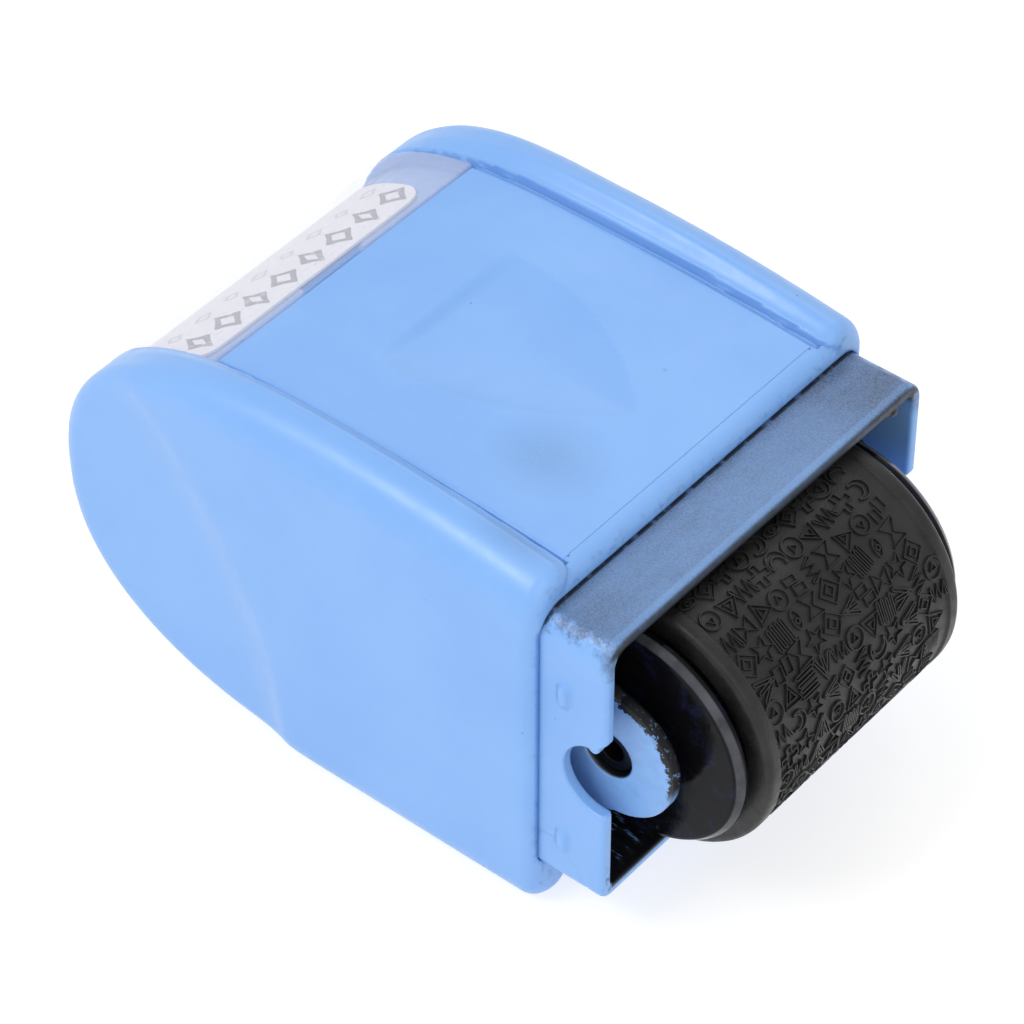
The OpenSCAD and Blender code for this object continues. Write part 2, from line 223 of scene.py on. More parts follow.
def window_field(x, y, z):
    ay, dp = np.abs(y), panel_line(x, z)
    e = both(dp, -dp - WINDOW_T, 0.3)
    e = both(e, ay - SLOT_W / 2 + 0.1, 0.3)
    e = both(both(e, x - X_WINDOW + 0.15, 0.3), 26.15 - z, 0.3)
    nail = np.maximum(np.abs(y - NAIL_Y) - NAIL_HALF_W, X_WINDOW - 0.9 - x)
    return less(e, nail, 0.2)


def neck_field(x, y, z):
    """The neck with its lips, cap bumps, notches and snap nubs."""
    ay, v = np.abs(y), z - NECK_Z0 - NECK_H / 2
    e = both(round_rect(y, v, NECK_W, NECK_H, 2.6, 1.3), x - X_NECK, 0.55)
    e = np.maximum(e, X_BAY - x)
    lips = block(x, y, z, X_COLLAR - 4, X_COLLAR - 2, -16.5, 16.5, NECK_Z0 - 1.8, NECK_Z0 + NECK_H + 0.4)
    e = np.minimum(e, lips)
    for z0 in BUMPS_Z:
        along = np.clip(z, z0 + 0.6, z0 + 2.1)
        bump = np.sqrt((x - BUMP_X) ** 2 + (ay - NECK_W / 2 + 0.2) ** 2 + (z - along) ** 2) - BUMP_R
        e = either(e, bump, 0.3)
    # a faint curved witness line low on each side
    arc = np.hypot(x - 20.6, (z - 4.2) * 0.8) - 5.1
    e = e + 0.07 * (1 - ramp(np.abs(arc) / 0.35)) * (ay > NECK_W / 2 - 0.5) * (z < 12)
    inner = round_rect(y, v, NECK_W - 2 * NECK_WALL, NECK_H - 2 * NECK_WALL, 1.4, 0.7)
    e = less(e, np.maximum(inner, X_BAY + 1.5 - x), 0.35)
    notch = np.hypot(x - NOTCH_X, z - NOTCH_Z) - NOTCH_R
    slant = 0.81 * (z - NOTCH_Z - NOTCH_R + 0.1) - 0.59 * 1.39 * (x - X_NECK + 1.3)
    wedge = inside_all(slant, X_NECK - 1.3 - x, NOTCH_Z - z)
    e = less(e, np.minimum(notch, wedge), 0.25)
    nub = np.hypot(x - X_NECK + 1.5, z - NOTCH_Z - NOTCH_R) - 0.6
    nub = np.maximum(nub, span(ay, NECK_W / 2 - NECK_WALL + 0.1, NECK_W / 2 - 0.1))
    e = either(e, nub, 0.2)
    # dried ink under the far end of the top wall
    for by, bz, r in DRIED_INK:
        lump = np.sqrt((x - X_NECK + 0.6) ** 2 + (y - by) ** 2 + (z - bz) ** 2) - r
        e = either(e, lump, 0.2)
    return e


def cheek(x, w, z, holes):
    """A cartridge cheek; w is the distance from the middle plane on its own side."""
    step_x = X_AXLE - 10.5
    fall = ((Z_AXLE - NOSE_R) - CART_Z0, X_AXLE - step_x)
    size = math.hypot(*fall)
    low = ((x - step_x) * fall[0] - (z - CART_Z0) * fall[1]) / size
    rise = (CART_Z1 - (Z_AXLE + NOSE_R), X_AXLE - step_x)
    size = math.hypot(*rise)
    high = ((x - step_x) * rise[0] + (z - CART_Z1) * rise[1]) / size
    view = inside_all(low, high, span(x, X_CART, X_AXLE), span(z, CART_Z0, CART_Z1))
    view = either(view, np.hypot(x - X_AXLE, z - Z_AXLE) - NOSE_R, 1.0)
    for hx, hz, hr in [(X_AXLE, Z_AXLE, AXLE_R + 0.08), (X_INK, Z_AXLE, SPINDLE_R + 0.06)] + holes:
        view = less(view, np.hypot(x - hx, z - hz) - hr, 0.1)
    e = both(view, span(w, CHEEK_IN, CHEEK_OUT), 0.35)
    for z0 in (CART_Z0, CART_Z1 - 2):
        runner = both(block(x, w, z, X_CART, X_CART + 23, CHEEK_IN, 99, z0, z0 + 2), w - RUNNER_Y, 0.3)
        e = either(e, runner, 0.3)
    return e


def plate_field(x, y, z):
    return cheek(x, y, z, [(a, b, SCREW_R) for a, b in BOSSES + RODS])


def frame_field(x, y, z):
    """The right cheek with the bridge behind the rollers and two bosses for the left cheek's screws."""
    e = cheek(x, -y, z, [(a, b, SCREW_R) for a, b in RODS])
    bridge = block(x, y, z, X_CART, X_CART + 2, -CHEEK_IN - 0.1, CHEEK_IN, CART_Z0, CART_Z1)
    e = either(e, bridge, 0.5)
    for a, b in BOSSES:
        r = np.hypot(x - a, z - b)
        post = np.maximum(r - 2.4, span(y, CHEEK_IN - 9, CHEEK_IN))
        e = less(either(e, post, 0.6), np.maximum(r - SCREW_R, CHEEK_IN - 8 - y), 0.1)
    return e


# ---------------------------------------------------------------- meshes
def line(lo, hi, step, *fine):
    """Stations from lo to hi, closer together in the (from, to, step) zones."""
    out = [lo]
    while out[-1] < hi:
        out.append(out[-1] + min([step] + [s for a, b, s in fine if a <= out[-1] < b]))
    return np.array(out)


def mirrored(half):
    """The stations of one half and their mirror image."""
    return np.concatenate([-half[:0:-1], half])


def gradient(field, p, h):
    cols = []
    for axis in range(3):
        q0, q1 = p.copy(), p.copy()
        q0[:, axis] -= h
        q1[:, axis] += h
        cols.append((field(*q1.T) - field(*q0.T)) / (2 * h))
    return np.stack(cols, 1)


def add_mesh(name, points, faces, normals=None, smooth_below=None):
    """Makes an object of points in mm and faces of point numbers."""
    mesh = bpy.data.meshes.new(name)
    mesh.from_pydata(np.asarray(points, float) * MM, [], faces)
    mesh.polygons.foreach_set("use_smooth", [True] * len(mesh.polygons))
    if smooth_below is not None:
        mesh.set_sharp_from_angle(angle=math.radians(smooth_below))
    mesh.validate()
    if normals is not None and len(mesh.vertices) == len(normals):
        mesh.normals_split_custom_set_from_vertices(normals)
    obj = bpy.data.objects.new(name, mesh)
    bpy.context.scene.collection.objects.link(obj)
    return obj


def moulded(name, field, xs, ys, zs):
    """The closed surface where a field is 0: one point per mixed cell, then drawn onto the field."""
    grid = field(*np.meshgrid(xs, ys, zs, indexing="ij"))
    solid = grid < 0
    cells = tuple(n - 1 for n in grid.shape)
    corners = list(itertools.product((0, 1), repeat=3))
    count = np.zeros(cells, np.int8)
    for a, b, c in corners:
        count += solid[a : a + cells[0], b : b + cells[1], c : c + cells[2]]
    i, j, k = np.nonzero((count > 0) & (count < 8))
    value = {c: grid[i + c[0], j + c[1], k + c[2]] for c in corners}
    place = {c: np.stack([xs[i + c[0]], ys[j + c[1]], zs[k + c[2]]], 1) for c in corners}
    total, hits = np.zeros((len(i), 3)), np.zeros(len(i))
    for c in corners:
        for axis in range(3):
            if c[axis]:
                continue
            d = tuple(1 if n == axis else c[n] for n in range(3))
            crossed = (value[c] < 0) != (value[d] < 0)
            t = np.where(crossed, value[c] / np.where(crossed, value[c] - value[d], 1), 0)
            total += crossed[:, None] * (place[c] + t[:, None] * (place[d] - place[c]))
            hits += crossed
    points = total / hits[:, None]
    for _ in range(4):
        g = gradient(field, points, 0.01)
        size2 = np.maximum((g * g).sum(1), 0.3)
        step = np.clip(field(*points.T) / size2, -0.2, 0.2)
        points -= step[:, None] * g
    normals = gradient(field, points, 0.04)
    normals /= np.maximum(np.linalg.norm(normals, axis=1), 1e-9)[:, None]
    ident = np.full(cells, -1)
    ident[i, j, k] = np.arange(len(i))
    faces = []
    for axis in range(3):
        s, idn = np.moveaxis(solid, axis, 0), np.moveaxis(ident, axis, 0)
        s0, s1 = s[:-1, 1:-1, 1:-1], s[1:, 1:-1, 1:-1]
        p, q, r = np.nonzero(s0 != s1)
        quad = np.stack([idn[p, q, r], idn[p, q + 1, r], idn[p, q + 1, r + 1], idn[p, q, r + 1]], 1)
        flip = s0[p, q, r] == (axis == 1)
        quad[flip] = quad[flip][:, ::-1]
        faces.append(quad)
    faces = np.concatenate(faces)
    obj = add_mesh(name, points, faces.tolist(), normals)
    print("moulded", name, len(points), "points", 2 * len(faces), "triangles")
    return obj


def rounded(corners, n=5):
    """A closed outline with its corners rounded. Each corner is (radius, y, rounding)."""
    out = []
    for i, (a, b, r) in enumerate(corners):
        here = np.array([a, b])
        before = np.array(corners[i - 1][:2]) - here
        after = np.array(corners[(i + 1) % len(corners)][:2]) - here
        if r <= 0:
            out.append(here)
            continue
        u, v = before / np.linalg.norm(before), after / np.linalg.norm(after)
        half = math.acos(np.clip(u @ v, -1, 1)) / 2
        reach = min(r / math.tan(half), 0.49 * np.linalg.norm(before), 0.49 * np.linalg.norm(after))
        for t in np.linspace(0, 1, n):
            out.append(here + reach * ((1 - t) ** 2 * u + t**2 * v))
    return np.array(out)


def both_ends(corners):
    """A closed outline from (radius, y, rounding) corners and their mirror image in the middle plane."""
    return [(r, -y, c) for r, y, c in corners] + [(r, y, c) for r, y, c in corners[::-1]]


def turned(name, corners, x, z=Z_AXLE, steps=144, sharp=38, shape=None):
    """A closed outline of (radius, y) corners turned about the line through x, z along y."""
    ring = rounded(corners)
    n = len(ring)
    turns = np.linspace(0, 2 * math.pi, steps, endpoint=False)
    r, y = np.meshgrid(ring[:, 0], turns, indexing="ij")[0].T, np.tile(ring[:, 1], (steps, 1))
    if shape is not None:
        r = shape(r, y, turns[:, None])
    points = np.stack([x + r * np.cos(turns)[:, None], y, z + r * np.sin(turns)[:, None]], 2)
    a = np.arange(steps)[:, None] * n + np.arange(n)[None, :]
    b = (np.arange(steps)[:, None] + 1) % steps * n + np.arange(n)[None, :]
    quads = np.stack([a, b, np.roll(b, -1, 1), np.roll(a, -1, 1)], 2).reshape(-1, 4)
    area = sum(p[0] * q[1] - q[0] * p[1] for p, q in zip(ring, np.roll(ring, -1, 0)))
    if area > 0:
        quads = quads[:, ::-1]
    return add_mesh(name, points.reshape(-1, 3), quads.tolist(), smooth_below=sharp)


def joined(name, parts):
    """One object from several."""
    bpy.ops.object.select_all(action="DESELECT")
    for p in parts:
        p.select_set(True)
    bpy.context.view_layer.objects.active = parts[0]
    bpy.ops.object.join()
    parts[0].name = parts[0].data.name = name
    return parts[0]


# ---------------------------------------------------------------- marks: outlined strokes
def circle(r, n=18, centre=(0, 0), start=0.0, turn=2 * math.pi):
    """Points along a circle, or along an arc of it if turn isn't a full turn."""
    t = start + np.linspace(0, turn, n, endpoint=abs(turn - 2 * math.pi) > 1e-6)
    return np.stack([centre[0] + r * np.cos(t), centre[1] + r * np.sin(t)], 1)


def outlined(points, w):
    """The closed outline of a stroke of half width w along a polyline."""
    p = np.array(points, float)
    d = np.gradient(p, axis=0)
    if len(p) > 2:
        d[1:-1] = p[2:] - p[:-2]
    d /= np.linalg.norm(d, axis=1)[:, None]
    n = np.stack([-d[:, 1], d[:, 0]], 1)
    return np.concatenate([p + w * n, [p[-1] + w * d[-1]], (p - w * n)[::-1], [p[0] - w * d[0]]])


def polygon(n, r, centre=(0, 0), start=0.0, inner=None):
    """A regular polygon, or a star if inner is its inner radius."""
    points = n if inner is None else 2 * n
    t = start + np.arange(points) * 2 * math.pi / points
    size = r if inner is None else np.where(np.arange(points) % 2, inner, r)
    return np.stack([centre[0] + size * np.cos(t), centre[1] + size * np.sin(t)], 1)


def mark_shapes():
    """Generic marks, about 2 mm across, each a list of closed loops. None is a letter or a digit."""
    w = 0.14
    target = [circle(0.98, 22), polygon(3, 0.42)]
    tent = [polygon(3, 1.2, start=0.52), polygon(3, 0.5, start=0.52)]
    diamond = [polygon(4, 1.15), polygon(4, 0.5)]
    saw = [outlined([(-1.0, -0.6), (-0.6, 0.6), (-0.2, -0.6), (0.2, 0.6), (0.6, -0.6), (1.0, 0.6)], w)]
    comb = [outlined([(v, -0.95), (v, 0.95)], w) for v in (-0.85, -0.28, 0.28, 0.85)]
    star = [polygon(5, 1.15, inner=0.5)]
    arm = np.array([(-0.3, -1), (0.3, -1), (0.3, -0.3)])
    quarter_turns = ((1, 0), (0, 1), (-1, 0), (0, -1))
    plus = [np.concatenate([arm @ np.array([(c, v), (-v, c)]) for c, v in quarter_turns])]
    glass = [np.array([(-0.9, -0.95), (0.9, -0.95), (0.15, 0), (0.9, 0.95), (-0.9, 0.95), (-0.15, 0)])]
    upper, lower = circle(1.3, 8, (0, -0.85), 0.87, 1.4), circle(1.3, 8, (0, 0.85), 0.87 + math.pi, 1.4)
    leaf = [np.concatenate([upper, lower]), circle(0.25, 9)]
    moon = [np.concatenate([circle(1.0, 14, (0, 0), 0.9, 4.5), circle(0.75, 10, (0.35, 0), 5.1, -3.9)])]
    fan = [outlined([(-0.9, 0), (0.9, v)], w) for v in (-0.9, 0.0, 0.9)]
    brick = [np.array([(x0, y0), (x1, y0), (x1, y1), (x0, y1)])
             for x0, x1, y0, y1 in ((-1, -0.1, -0.45, 0.9), (0.2, 1, -0.9, 0.4))]
    return [target, tent, saw, diamond, plus, comb, star, glass, leaf, moon, fan, brick]


def stroke_mesh(name, loops, place, width, height, sink=0.06):
    """Raised strokes along closed loops of (s, y); place(s, y, h) puts a point at height h on a surface."""
    points, faces = [], []
    for loop in loops:
        n = len(loop)
        d = np.roll(loop, -1, 0) - np.roll(loop, 1, 0)
        d /= np.maximum(np.linalg.norm(d, axis=1), 1e-9)[:, None]
        side = np.stack([-d[:, 1], d[:, 0]], 1)
        base = len(points)
        for k, (off, h) in enumerate([(-0.5, -sink), (-0.24, height), (0.24, height), (0.5, -sink)]):
            q = loop + side * width * off
            points.extend(place(q[:, 0], q[:, 1], h))
        for k in range(3):
            near, far = base + k * n, base + (k + 1) * n
            for i in range(n):
                j = (i + 1) % n
                faces.append((near + i, near + j, far + j, far + i))
    return add_mesh(name, points, faces, smooth_below=50)


def sleeve_loops(rng):
    """Rows of marks round the sleeve, with s the distance round it."""
    shapes = mark_shapes()
    pitch, loops = 2 * math.pi * SLEEVE_R / SLEEVE_ROWS, []
    for row in range(SLEEVE_ROWS):
        kinds = rng.permutation(len(shapes))
        y, n = -SLEEVE_L / 2 + 2.3 + rng.uniform(0, 0.8), 0
        while y < SLEEVE_L / 2 - 2.2:
            size = rng.uniform(1.0, 1.2)
            turn = rng.integers(0, 4) * math.pi / 2 + rng.uniform(-0.2, 0.2)
            c, v = math.cos(turn), math.sin(turn)
            for loop in shapes[kinds[n % 5]]:
                p = np.asarray(loop) * size
                p = np.stack([p[:, 0] * c - p[:, 1] * v, p[:, 0] * v + p[:, 1] * c], 1)
                loops.append(p + [row * pitch + rng.uniform(-0.1, 0.1), y])
            y += 2.4 * rng.uniform(0.97, 1.08)
            n += 1
    return loops


# ---------------------------------------------------------------- materials
class Look:
    """A node material with short names for the nodes it uses. Positions are in mm in the CAD frame."""

    def __init__(self, name, **values):
        self.mat = bpy.data.materials.new(name)
        self.mat.use_nodes = True
        self.nt = self.mat.node_tree
        self.bsdf = self.nt.nodes["Principled BSDF"]
        for key, v in values.items():
            self.bsdf.inputs[key.replace("_", " ")].default_value = v
        coord = self.nt.nodes.new("ShaderNodeTexCoord")
        self.pos = self.vmath("SCALE", coord.outputs["Object"], 1000.0)
        self.x, self.y, self.z = self.node("ShaderNodeSeparateXYZ", Vector=self.pos).outputs

    def put(self, socket, v):
        if isinstance(v, bpy.types.NodeSocket):
            self.nt.links.new(v, socket)
        else:
            socket.default_value = v

    def node(self, kind, **inputs):
        n = self.nt.nodes.new(kind)
        for key, v in inputs.items():
            self.put(n.inputs[key], v)
        return n

    def vmath(self, op, a, b):
        n = self.nt.nodes.new("ShaderNodeVectorMath")
        n.operation = op
        self.put(n.inputs[0], a)
        self.put(n.inputs["Scale"] if op == "SCALE" else n.inputs[1], b)
        return n.outputs["Vector"]

    def math(self, op, a, b=0.0):
        n = self.nt.nodes.new("ShaderNodeMath")
        n.operation = op
        self.put(n.inputs[0], a)
        self.put(n.inputs[1], b)
        return n.outputs[0]

    def noise(self, scale, detail=3.0, rough=0.55, stretch=None, distort=0.0):
        p = self.pos if stretch is None else self.vmath("MULTIPLY", self.pos, stretch)
        n = self.node("ShaderNodeTexNoise", Vector=p, Scale=scale, Detail=detail, Roughness=rough)
        n.inputs["Distortion"].default_value = distort
        return n.outputs["Fac"]

    def cells(self, scale):
        n = self.node("ShaderNodeTexVoronoi", Vector=self.pos, Scale=scale)
        return n.outputs["Distance"]

    def step(self, v, lo, hi, out_lo=0.0, out_hi=1.0):
        """v from lo to hi becomes out_lo to out_hi, eased."""
        n = self.nt.nodes.new("ShaderNodeMapRange")
        n.interpolation_type = "SMOOTHSTEP"
        self.put(n.inputs["Value"], v)
        for key, w in (("From Min", lo), ("From Max", hi), ("To Min", out_lo), ("To Max", out_hi)):
            n.inputs[key].default_value = w
        return n.outputs["Result"]

    def mul(self, *vs):
        out = vs[0]
        for v in vs[1:]:
            out = self.math("MULTIPLY", out, v)
        return out

    def most(self, *vs):
        out = vs[0]
        for v in vs[1:]:
            out = self.math("MAXIMUM", out, v)
        return out

    def near(self, centre, size):
        """1 at a place in mm, falling to 0 at size mm from it along each axis."""
        away = self.vmath("DIVIDE", self.vmath("SUBTRACT", self.pos, centre), size)
        length = self.node("ShaderNodeVectorMath")
        length.operation = "LENGTH"
        self.put(length.inputs[0], away)
        return self.step(length.outputs["Value"], 1.0, 0.0)

    def from_axle(self):
        """The distance from the type roller's axis, in mm."""
        across, up = self.math("SUBTRACT", self.x, X_AXLE), self.math("SUBTRACT", self.z, Z_AXLE)
        squares = self.math("ADD", self.math("POWER", across, 2.0), self.math("POWER", up, 2.0))
        return self.math("SQRT", squares)

    def ragged(self, v, scale, detail, rough, reach):
        """v with a noise of the given reach added, so that a step on it has a ragged border."""
        centred = self.math("SUBTRACT", self.noise(scale, detail, rough), 0.5)
        return self.math("ADD", v, self.mul(centred, reach))

    def mix(self, fac, a, b):
        n = self.nt.nodes.new("ShaderNodeMix")
        n.data_type = "RGBA"
        self.put(n.inputs[0], fac)
        self.put(n.inputs[6], a)
        self.put(n.inputs[7], b)
        return n.outputs[2]

    def finish(self, color=None, roughness=None, bump=None, strength=0.1, depth=0.1):
        """Links the looked-up colour, roughness and bump height; depth is in mm."""
        if color is not None:
            self.put(self.bsdf.inputs["Base Color"], color)
        if roughness is not None:
            self.put(self.bsdf.inputs["Roughness"], roughness)
        if bump is not None:
            n = self.node("ShaderNodeBump", Strength=strength, Distance=depth * MM, Height=bump)
            self.nt.links.new(n.outputs["Normal"], self.bsdf.inputs["Normal"])
        return self.mat


def srgb(r, g, b):
    """A colour given as it looks on a screen, as the linear values that a node takes."""
    shares = [c / 255 for c in (r, g, b)]
    return tuple(c / 12.92 if c < 0.0404 else ((c + 0.055) / 1.055) ** 2.4 for c in shares) + (1.0,)


BLUE, BLUE_DEEP, BLUE_PALE = srgb(123, 168, 225), srgb(117, 163, 222), srgb(136, 178, 230)
INK_AND_PAINTED_SHADE, INK_FILM_AND_PAINTED_SHADE = srgb(14, 15, 19), srgb(56, 62, 78)


def blue_plastic(name, film=None, ink=None):
    """Satin moulded plastic; film(look) and ink(look) give the share of thin and thick ink on it, and also
    carry painted shade at the collar's seam and on the cheeks and a painted highlight along the neck's front
    edge.
    """
    k = Look(name, Subsurface_Weight=0.12, Subsurface_Scale=0.0012, IOR=1.48)
    k.bsdf.inputs["Subsurface Radius"].default_value = (0.35, 0.6, 1.0)
    tone = k.step(k.noise(0.06, 4.0), 0.3, 0.7)
    color = k.mix(tone, BLUE_DEEP, BLUE)
    color = k.mix(k.mul(k.step(k.noise(1.6, 2.0), 0.62, 0.8), 0.25), color, BLUE_PALE)
    specks = k.mul(k.step(k.cells(0.33), 0.055, 0.03), k.step(k.noise(0.11, 2.0), 0.56, 0.66))
    color = k.mix(k.mul(specks, 0.85), color, INK_FILM_AND_PAINTED_SHADE)
    rough = k.step(k.noise(0.5, 4.0), 0.3, 0.7, 0.3, 0.38)
    # the ink shares also paint shade, and on the neck's front edge a highlight
    for stain_and_painted_light, tint in ((film, INK_FILM_AND_PAINTED_SHADE), (ink, INK_AND_PAINTED_SHADE)):
        if stain_and_painted_light is not None:
            share = stain_and_painted_light(k)
            color = k.mix(share, color, tint)
            rough = k.math("ADD", rough, k.mul(share, 0.1))
    grain = k.math("ADD", k.noise(9.0, 2.0), k.mul(k.noise(0.9, 2.0), 0.6))
    return k.finish(color, rough, grain, 0.12, 0.05)


def case_film_and_collar_shade(k):
    """Thumb smudges on the panel and the near rail, a few specks, and a ragged dark band on the collar's
    front edge that is painted shade with some ink film.
    """
    grain = k.step(k.noise(4.5, 4.0, 0.7), 0.25, 0.75, 0.45, 1.0)
    thumb = k.mul(k.near((9.4, -9.8, 42.0), (8.0, 7.0, 9.0)), grain, 0.22)
    rail = k.mul(k.near((14.5, -20.6, 43.0), (6.5, 3.0, 4.0)), grain, 0.26)
    # painted shade with some ink film: a ragged dark band on the collar's front edge
    seam = k.mul(k.step(k.x, X_COLLAR - 0.7, X_COLLAR - 0.1), k.step(k.noise(1.1, 3.0), 0.5, 0.72), 0.3)
    speck = k.mul(k.near((10.1, 6.5, 41.9), (0.6, 0.3, 0.9)), 0.9)
    return k.most(thumb, rail, seam, speck)


def neck_film_shade_and_highlight(k):
    """A speckled ink film over the neck's top, darker to the far end, ragged down its sides; darker towards
    the seam with the collar, which is ink film and painted shade, and lighter on a band along the front edge,
    which is a painted highlight.
    """
    speckle = k.step(k.noise(5.5, 3.0, 0.75), 0.36, 0.66, 0.8, 1.12)
    patches = k.step(k.noise(0.3, 4.0, 0.6, (1.0, 0.45, 1.0)), 0.35, 0.72, 0.9, 1.1)
    ragged = k.ragged(k.z, 0.8, 5.0, 0.75, 7.0)
    top = k.most(k.step(k.z, 38.1, 38.42), k.step(ragged, 36.9, 38.8))
    level = k.math("ADD", 0.6, k.mul(k.step(k.y, 4.0, 21.0), 0.17))
    # ink film and painted shade: darker towards the seam with the collar
    level = k.math("ADD", level, k.mul(k.step(k.x, X_COLLAR + 1.9, X_COLLAR + 0.2), 0.12))
    level = k.math("ADD", level, k.mul(k.step(k.y, -13.0, -20.0), 0.06))
    # painted highlight: less film on a band along the rounded front edge, so it shows lighter
    edge = k.mul(k.step(k.x, X_NECK - 1.1, X_NECK - 0.8), k.step(k.x, X_NECK - 0.2, X_NECK - 0.4))
    level = k.math("SUBTRACT", level, k.mul(edge, 0.16))
    corner = k.step(k.math("ADD", ragged, k.mul(k.math("SUBTRACT", k.x, X_NECK), 2.2)), 33.6, 37.0)
    corner = k.mul(corner, k.step(k.z, 38.3, 37.4), 0.62, speckle)
    return k.most(k.mul(top, speckle, patches, level), corner)


def neck_ink(k):
    """Thick ink in the seam, on the mouth's edge and on the neck's floor and roof."""
    seam = k.mul(k.step(k.x, X_COLLAR + 0.34, X_COLLAR + 0.14), k.step(k.noise(0.6, 3.0), 0.36, 0.5), 0.9)
    seam = k.mul(seam, k.step(k.z, 36.0, 38.0))
    face = k.step(k.x, X_NECK - 0.3, X_NECK - 0.05)
    lip = k.mul(face, k.step(k.math("ADD", k.z, k.mul(k.noise(1.2, 3.0), 0.6)), 37.0, 37.8), 0.9)
    foot = k.mul(face, k.step(k.noise(1.5, 4.0, 0.7), 0.5, 0.6))
    foot = k.mul(foot, k.near((X_NECK, -22.6, 8.0), (1.5, 1.6, 3.4)), 0.8)
    within = k.mul(k.step(k.z, 38.2, 37.5), k.step(k.z, 6.6, 7.0))
    within = k.mul(k.step(k.math("ABSOLUTE", k.y), 22.5, 22.2), within)
    streaks = k.step(k.noise(1.6, 4.0, 0.6, (0.25, 1.8, 1.0)), 0.3, 0.42)
    floor = k.mul(within, k.step(k.math("ADD", k.z, k.mul(k.noise(0.9, 4.0), 2.0)), 11.0, 8.6), streaks)
    tips = k.mul(within, k.step(k.x, X_NECK - 2.2, X_NECK - 1.2), k.step(k.z, 9.0, 8.2))
    roof = k.mul(within, k.step(k.z, 35.6, 37.0))
    blob = k.near((X_NECK - 0.5, 19.6, 36.9), (2.0, 3.2, 1.5))
    return k.most(seam, lip, foot, floor, tips, roof, blob)


def cheek_ink_and_shade(k):
    """Ink on the upper front edge and on the inner faces, and a thin haze elsewhere; painted shade in the
    axle hole and towards the back, where the cheeks run into the neck.
    """
    rad = k.from_axle()
    ragged = k.ragged(rad, 1.2, 5.0, 0.78, 2.4)
    upper = k.step(k.math("ADD", k.z, k.mul(k.x, 0.6)), 38.5, 41.0)
    rim = k.mul(k.step(ragged, 6.85, 7.0), upper)
    # painted shade in the axle hole and round its edge
    hole = k.step(rad, 2.85, 2.62)
    # painted shade: darker towards the back, inside the neck
    behind = k.mul(k.step(k.x, 17.0, 12.0), 0.55)
    inner = k.mul(k.step(k.math("ABSOLUTE", k.y), 19.3, 19.0), 0.9)
    haze = k.step(k.noise(0.7, 4.0, 0.7), 0.35, 0.75, 0.04, 0.16)
    return k.most(rim, hole, behind, inner, haze)


def rubber_look():
    k = Look("rubber", IOR=1.52, Specular_IOR_Level=0.3)
    tone = k.step(k.noise(0.25, 4.0), 0.3, 0.7)
    color = k.mix(tone, srgb(20, 20, 21), srgb(36, 36, 36))
    rough = k.step(k.noise(0.9, 4.0), 0.32, 0.68, 0.28, 0.44)
    grain = k.math("ADD", k.noise(5.0, 3.0), k.mul(k.noise(22.0, 2.0), 0.4))
    return k.finish(color, rough, grain, 0.35, 0.12)


def gloss_look():
    """Glossy black plastic wet with ink, bluish where the film is thin, with a painted highlight, a grey
    band, on the discs' bevels.
    """
    k = Look("gloss_black", Specular_IOR_Level=0.1)
    patch = k.step(k.noise(0.35, 4.0, 0.6, None, 0.6), 0.5, 0.7)
    color = k.mix(patch, srgb(12, 12, 15), srgb(20, 22, 44))
    smear = k.mul(k.step(k.noise(1.1, 5.0, 0.7), 0.6, 0.72), k.step(k.z, 20.0, 12.0))
    color = k.mix(k.mul(smear, 0.16), color, srgb(92, 98, 104))
    # painted highlight: a grey band on the discs' bevels stands in for their reflection
    painted_bevel_highlight = k.step(k.from_axle(), DISC_R - 0.55, DISC_R - 0.4)
    rim = k.mul(painted_bevel_highlight, k.step(k.math("ABSOLUTE", k.y), DISC_OUT - 0.95, DISC_OUT - 0.75))
    color = k.mix(k.mul(rim, k.step(k.noise(0.5, 3.0), 0.3, 0.7, 0.5, 1.0)), color, srgb(74, 76, 81))
    rough = k.math("ADD", k.step(k.noise(0.8, 4.0), 0.35, 0.7, 0.1, 0.24), k.mul(smear, 0.3))
    return k.finish(color, rough, k.noise(0.7, 3.0), 0.12, 0.2)


def foam_look():
    k = Look("ink_foam", Specular_IOR_Level=0.3)
    pores = k.step(k.cells(1.6), 0.1, 0.5)
    color = k.mix(pores, srgb(10, 10, 14), srgb(38, 38, 50))
    return k.finish(color, k.step(k.noise(0.8), 0.3, 0.7, 0.45, 0.75), pores, 0.9, 0.4)


def pale_plastic():
    k = Look("pale_plastic", Subsurface_Weight=0.1, Subsurface_Scale=0.001)
    color = k.mix(k.step(k.noise(0.4, 4.0), 0.45, 0.75), srgb(214, 213, 208), srgb(120, 122, 132))
    return k.finish(color, k.step(k.noise(1.0), 0.3, 0.7, 0.35, 0.5), k.noise(6.0), 0.1, 0.05)


def steel_look():
    k = Look("steel", Metallic=1.0)
    lines = k.noise(6.0, 3.0, 0.6, (1.0, 0.08, 1.0))
    color = k.mix(k.step(k.noise(0.7, 3.0), 0.3, 0.7), srgb(150, 151, 155), srgb(190, 191, 194))
    return k.finish(color, k.step(lines, 0.3, 0.7, 0.24, 0.42), lines, 0.15, 0.03)


def clear_look():
    """Clear window with fine scuffs; light passes straight through most of it."""
    k = Look("clear_window", IOR=1.46)
    scuffs = k.step(k.noise(2.2, 5.0, 0.7, (1.0, 0.25, 1.0)), 0.55, 0.8)
    color = k.mix(scuffs, srgb(226, 228, 238), srgb(240, 240, 242))
    rough = k.math("ADD", 0.1, k.mul(scuffs, 0.25))
    alpha = k.math("ADD", 0.22, k.mul(scuffs, 0.2))
    k.nt.links.new(alpha, k.bsdf.inputs["Alpha"])
    return k.finish(color, rough, k.noise(0.8, 3.0), 0.08, 0.1)


